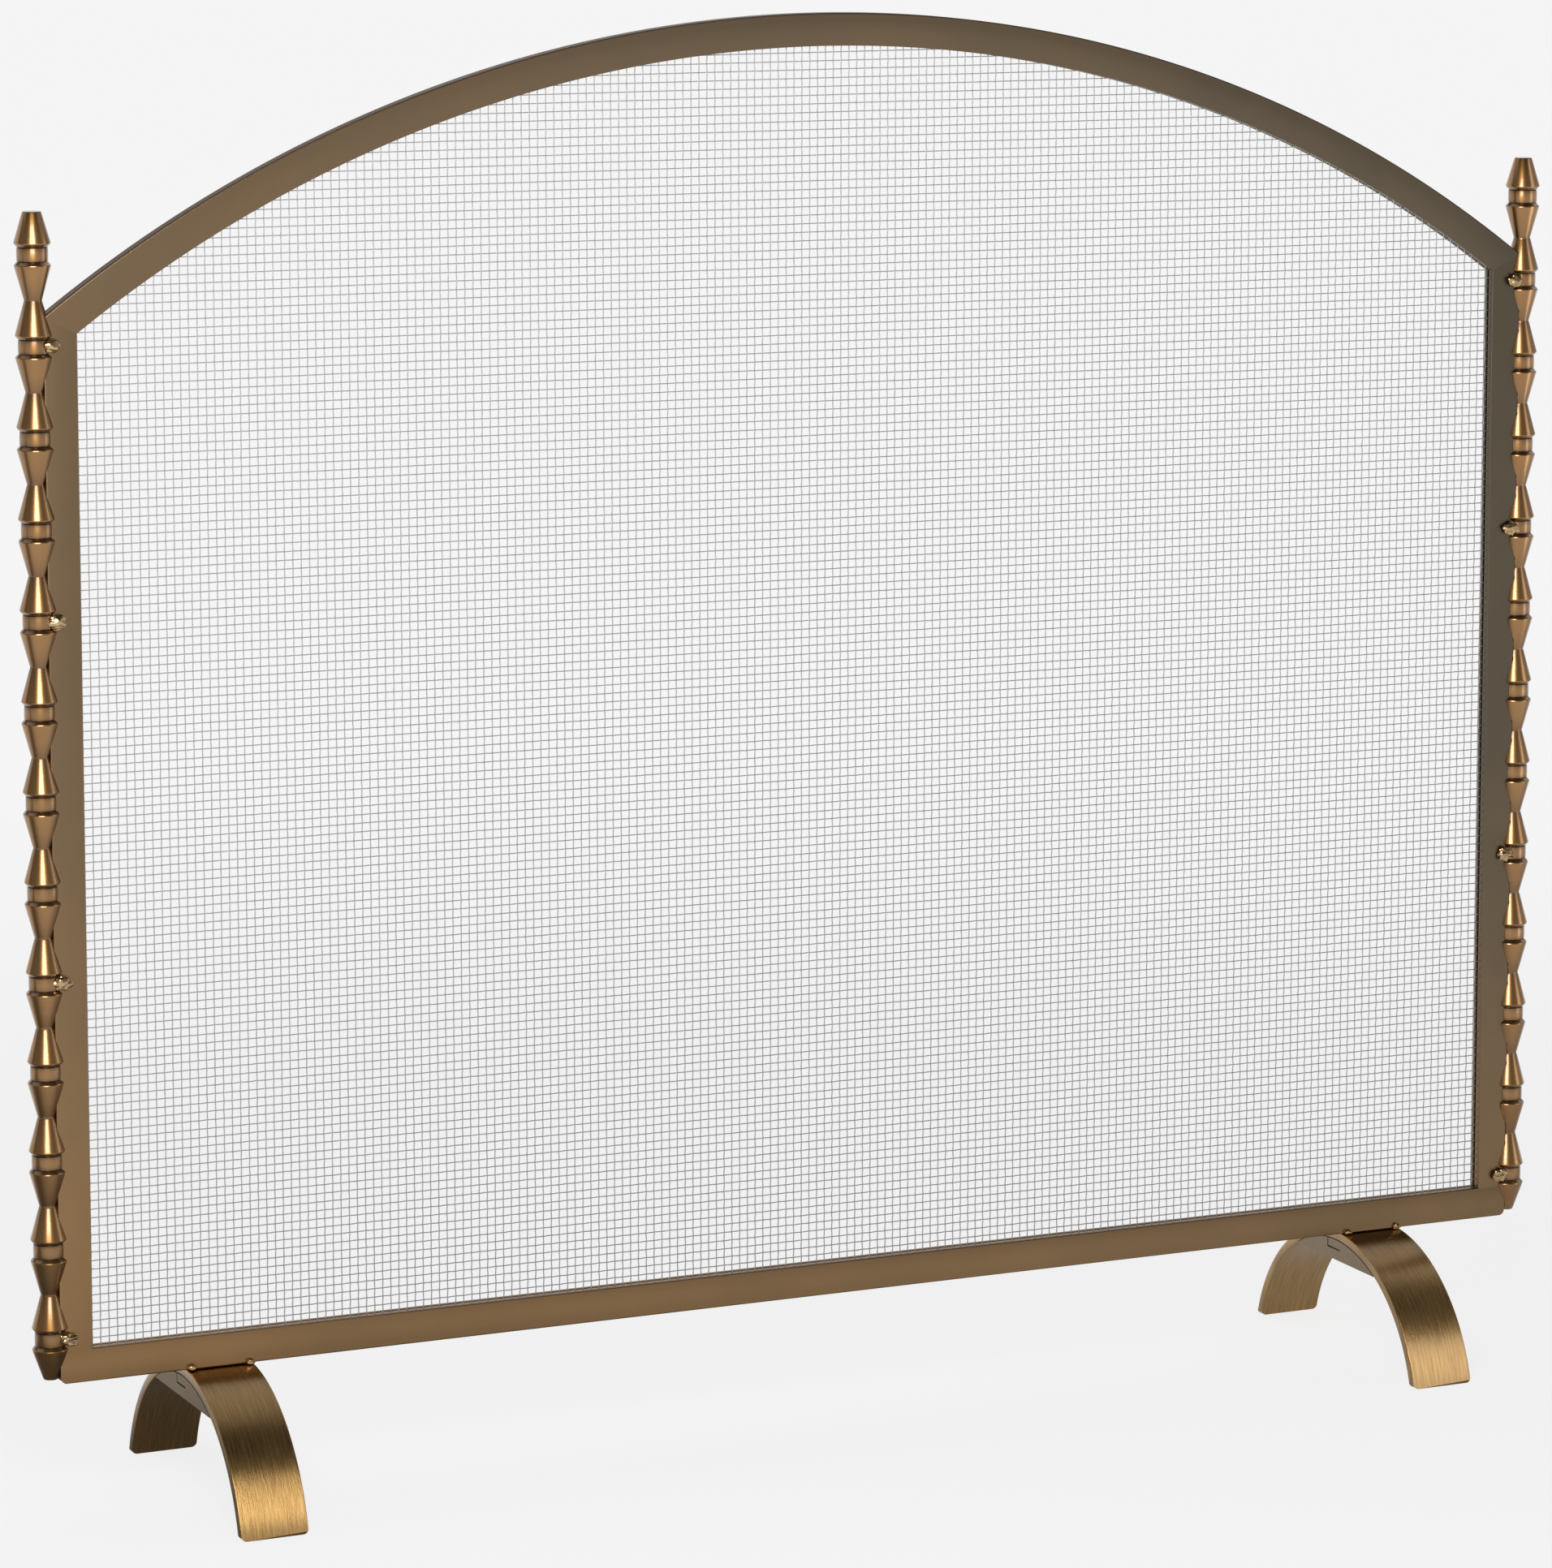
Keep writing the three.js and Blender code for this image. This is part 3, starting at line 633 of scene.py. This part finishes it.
def strip_section(width):
    """The strip's section as offset across, height under the outer face; softened edges."""
    half, edge = width / 2, STRIP_EDGE
    turn = np.linspace(0, math.pi / 2, 4)
    crowd = half - STRIP_CORNER * np.linspace(0.22, 1.0, STRIP_FACE_POINTS)
    top = [(x, 0.0) for x in np.concatenate([-crowd, [-half / 3, half / 3], crowd[::-1]])]
    right, left = half - edge, -half + edge
    upper, lower = edge, STRIP_THICKNESS - edge
    spots = [(right, upper, 1.5), (right, lower, 0.0), (left, lower, 0.5), (left, upper, 1.0)]
    arcs = []
    for x, y, start in spots:
        angles = start * math.pi + turn
        arcs.append([(x + edge * math.cos(a), y + edge * math.sin(a)) for a in angles])
    under = [(x, STRIP_THICKNESS) for x, _ in reversed(top)]
    return np.array(top + arcs[0] + arcs[1] + under + arcs[2] + arcs[3])


def foot_points(low, high):
    """Rows round the arch from the front end to the back end. A point keeps its radius, and stops at
    the height where the strip's rounded corner leaves it."""
    width, height = high.x - low.x, high.z - low.z
    half_span = (high.y - low.y) / 2
    outer = (half_span ** 2 + height ** 2) / (2 * height)
    centre_z = high.z - outer
    middle_y = (low.y + high.y) / 2
    section = strip_section(width)
    across, radius = section[:, 0], outer - section[:, 1]
    into = np.clip(np.abs(across) - (width / 2 - STRIP_CORNER), 0, STRIP_CORNER)
    stop = low.z + STRIP_CORNER - np.sqrt(STRIP_CORNER ** 2 - into ** 2)
    end = np.arccos((stop - centre_z) / radius)
    angle = np.linspace(-1, 1, STRIP_STATIONS)[:, None] * end
    y = middle_y + radius * np.sin(angle)
    z = centre_z + radius * np.cos(angle)
    x = (low.x + high.x) / 2 + across + 0 * y
    return np.stack([x, y, z], -1), np.stack([across + 0 * y, radius * angle], -1)


def brushed_brass_material():
    """Brass strip brushed along its length, stained and lacquered: fine scratches that spread the
    light sideways, with the stain uneven from streak to streak."""
    material, tree, shader = start_material("brushed_antique_brass", 1.0, 0.4)
    shader.inputs["Anisotropic"].default_value = 0.8
    shader.inputs["Coat Weight"].default_value = 0.8
    shader.inputs["Coat Roughness"].default_value = 0.2
    strip = add_node(tree, "ShaderNodeUVMap", uv_map="strip").outputs[0]
    across = add_node(tree, "ShaderNodeTangent", direction_type="UV_MAP", uv_map="strip").outputs[0]
    tree.links.new(across, shader.inputs["Tangent"])
    # streaks about 1 mm wide and 20 mm long
    stretch = add_node(tree, "ShaderNodeMapping", {"Vector": strip, "Scale": (900.0, 45.0, 1.0)})
    streak = add_node(
        tree, "ShaderNodeTexNoise", {"Vector": stretch.outputs[0], "Scale": 1.0, "Detail": 4.0},
    ).outputs["Fac"]
    fine_stretch = add_node(tree, "ShaderNodeMapping", {"Vector": strip, "Scale": (3200.0, 110.0, 1.0)})
    fine = add_node(
        tree, "ShaderNodeTexNoise", {"Vector": fine_stretch.outputs[0], "Scale": 1.0, "Detail": 2.0},
    )
    tone = add_node(tree, "ShaderNodeMapRange", {0: streak, 1: 0.3, 2: 0.7})
    colour = add_node(
        tree, "ShaderNodeMix",
        {"Factor": tone.outputs[0], "A": linear("987546"), "B": linear("BC975D")}, data_type="RGBA",
    )
    tree.links.new(colour.outputs["Result"], shader.inputs["Base Color"])
    rough = add_node(tree, "ShaderNodeMapRange", {0: streak, 1: 0.3, 2: 0.7, 3: 0.29, 4: 0.36})
    tree.links.new(rough.outputs[0], shader.inputs["Roughness"])
    relief = {"Height": fine.outputs["Fac"], "Strength": 0.5, "Distance": 0.4 * MM}
    tree.links.new(add_node(tree, "ShaderNodeBump", relief).outputs[0], shader.inputs["Normal"])
    return material


def cut_plate_material():
    """The same brass as sawn plate, left dull and unbrushed, with a slightly cloudy stain."""
    material, tree, shader = start_material("cut_brass_plate", 1.0, 0.5)
    place = add_node(tree, "ShaderNodeTexCoord").outputs["Object"]
    cloud = add_node(tree, "ShaderNodeTexNoise", {"Vector": place, "Scale": 90.0, "Detail": 5.0})
    colour = add_node(
        tree, "ShaderNodeMix",
        {"Factor": cloud.outputs["Fac"], "A": linear("988B7B"), "B": linear("A89478")}, data_type="RGBA",
    )
    tree.links.new(colour.outputs["Result"], shader.inputs["Base Color"])
    return material


brushed_brass = brushed_brass_material()
cut_plate = cut_plate_material()
for label in ("left", "right"):
    rows, flat = foot_points(*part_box(f"{label}_foot"))
    points, faces = capped_sweep(rows, True)
    foot = add_mesh(f"{label}_arched_foot", points, faces, brushed_brass, smooth_angle=40)
    strip_map = foot.data.uv_layers.new(name="strip")
    corner_points = np.empty(len(foot.data.loops), np.int32)
    foot.data.loops.foreach_get("vertex_index", corner_points)
    strip_map.data.foreach_set("uv", flat.reshape(-1, 2)[corner_points].ravel())
    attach(foot, "root")
    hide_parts(f"{label}_foot")
    lit_by["feet_box"].objects.link(foot)
    for where in ("outer", "inner"):
        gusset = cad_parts[f"{label}_foot_{where}_gusset"]
        gusset.data.materials.clear()
        gusset.data.materials.append(cut_plate)
        lit_by["feet_box"].objects.link(gusset)


# ---------------------------------------------------------------------------------------------
# Weld beads. Short bronze-rod welds, left as they set: bright, lumpy blobs where each post
# touches the stile, and where the feet touch the bottom rail.
# ---------------------------------------------------------------------------------------------
BEAD_RINGS = 20
BEAD_SIDES = 24
BEAD_SIZE = 0.95
RIPPLES = 6
RIPPLE_RATE = 4.2
RIPPLE_HEIGHT = 0.08
POST_REACH = 2.6 * MM


def bead_points(low, high, seed):
    """A ball over the box of the bead, its radius rippled by a few slow waves of its own."""
    draw = np.random.default_rng(seed)
    centre, half = (low + high) / 2, (high - low) / 2
    polar = np.linspace(0, math.pi, BEAD_RINGS)[1:-1][:, None]
    around = np.arange(BEAD_SIDES)[None, :] * 2 * math.pi / BEAD_SIDES
    ring = np.sin(polar)
    ball = np.stack([ring * np.cos(around), ring * np.sin(around), np.cos(polar) + 0 * around], -1)
    poles = np.array([[0, 0, 1.0], [0, 0, -1.0]])
    points = np.concatenate([ball.reshape(-1, 3), poles])
    swell = np.full(len(points), BEAD_SIZE)
    for wave in draw.normal(size=(RIPPLES, 3)) * RIPPLE_RATE:
        swell += RIPPLE_HEIGHT * np.sin(points @ wave + draw.uniform(0, 2 * math.pi))
    return centre + points * swell[:, None] * half


def bead_faces():
    """The ball's quads, and a fan of triangles round each pole."""
    rings = BEAD_RINGS - 2
    faces = [face[::-1] for face in grid_faces(rings, BEAD_SIDES)]
    top, bottom = rings * BEAD_SIDES, rings * BEAD_SIDES + 1
    last = (rings - 1) * BEAD_SIDES
    for k in range(BEAD_SIDES):
        after = (k + 1) % BEAD_SIDES
        faces.append([top, k, after])
        faces.append([bottom, last + after, last + k])
    return faces


def weld_material():
    """Silicon bronze rod as it set: bright and smooth with small pits, and browned by the heat."""
    material, tree, shader = start_material("bronze_weld", 1.0, 0.2)
    place = add_node(tree, "ShaderNodeTexCoord").outputs["Object"]
    cloud = add_node(tree, "ShaderNodeTexNoise", {"Vector": place, "Scale": 260.0, "Detail": 4.0})
    colour = add_node(
        tree, "ShaderNodeMix",
        {"Factor": cloud.outputs["Fac"], "A": linear("6E4A26"), "B": linear("F2D4A4")}, data_type="RGBA",
    )
    tree.links.new(colour.outputs["Result"], shader.inputs["Base Color"])
    relief = {"Height": cloud.outputs["Fac"], "Strength": 0.6, "Distance": 0.6 * MM}
    tree.links.new(add_node(tree, "ShaderNodeBump", relief).outputs[0], shader.inputs["Normal"])
    return material


bronze_weld = weld_material()
weld_nodes = sorted(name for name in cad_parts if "weld" in name)
for seed, node in enumerate(weld_nodes):
    low, high = (np.array(corner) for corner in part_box(node))
    # the bead beside a post runs on to the collar
    if node.startswith("left_post"):
        low[0] -= POST_REACH
    if node.startswith("right_post"):
        high[0] += POST_REACH
    points = bead_points(low, high, seed)
    bead = add_mesh(f"{node}_bead", points, bead_faces(), bronze_weld, smooth_angle=60)
    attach(bead, "root")
    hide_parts(node)


# ---------------------------------------------------------------------------------------------
# Retainer screws. Blackened steel pan-head screws with a cross recess, driven from behind
# through the back bars and the edge of the wire cloth.
# ---------------------------------------------------------------------------------------------
SCREW_SIDES = 48
HEAD_RINGS = 14
HEAD_HEIGHT = 1.8 * MM
HEAD_CURVE = 0.92
SHANK_RADIUS = 1.4 * MM
POINT_RADIUS = 0.3 * MM
POINT_LENGTH = 1.0 * MM
RECESS_DEPTH = 1.0 * MM
RECESS_HALF = 0.45 * MM
RECESS_REACH = 1.9 * MM


def screw_points(low, high):
    """Rings from the shank's tip to the middle of the head. The head is a dome, nearly half an
    ellipse, and it drops where a point lies within the two crossed bars of the recess."""
    centre_x, centre_z = (low[0] + high[0]) / 2, (low[2] + high[2]) / 2
    head_radius = (high[2] - low[2]) / 2
    seat = high[1] - HEAD_HEIGHT
    dome = np.linspace(1, 0.02, HEAD_RINGS)
    radius = np.concatenate([[POINT_RADIUS, SHANK_RADIUS, SHANK_RADIUS, head_radius], head_radius * dome])
    rise = HEAD_HEIGHT * np.sqrt(1 - HEAD_CURVE * dome ** 2)
    depth = np.concatenate([[low[1], low[1] + POINT_LENGTH, seat, seat], seat + rise])
    around = np.arange(SCREW_SIDES) * 2 * math.pi / SCREW_SIDES
    x = radius[:, None] * np.cos(around)
    z = radius[:, None] * np.sin(around)
    inside_x = (np.abs(x) < RECESS_HALF) & (np.abs(z) < RECESS_REACH)
    inside_z = (np.abs(z) < RECESS_HALF) & (np.abs(x) < RECESS_REACH)
    head = (np.arange(len(radius)) > 4)[:, None]
    y = depth[:, None] - RECESS_DEPTH * (head & (inside_x | inside_z))
    return np.stack([centre_x + x, y, centre_z + z], -1)


def blackened_steel_material():
    """Carbon steel screws, oil blackened: nearly black, slightly glossy, a little uneven in tone."""
    material, tree, shader = start_material("blackened_steel", 0.9, 0.4)
    place = add_node(tree, "ShaderNodeTexCoord").outputs["Object"]
    cloud = add_node(tree, "ShaderNodeTexNoise", {"Vector": place, "Scale": 700.0, "Detail": 3.0})
    colour = add_node(
        tree, "ShaderNodeMix",
        {"Factor": cloud.outputs["Fac"], "A": linear("1E1B18"), "B": linear("3A342E")}, data_type="RGBA",
    )
    tree.links.new(colour.outputs["Result"], shader.inputs["Base Color"])
    return material


blackened_steel = blackened_steel_material()
for node in sorted(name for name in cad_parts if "_screw_" in name):
    low, high = (np.array(corner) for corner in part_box(node))
    points, faces = capped_sweep(screw_points(low, high), False)
    screw = add_mesh(f"{node}_pan_head", points, faces, blackened_steel, smooth_angle=35)
    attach(screw, "root")
    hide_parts(node)
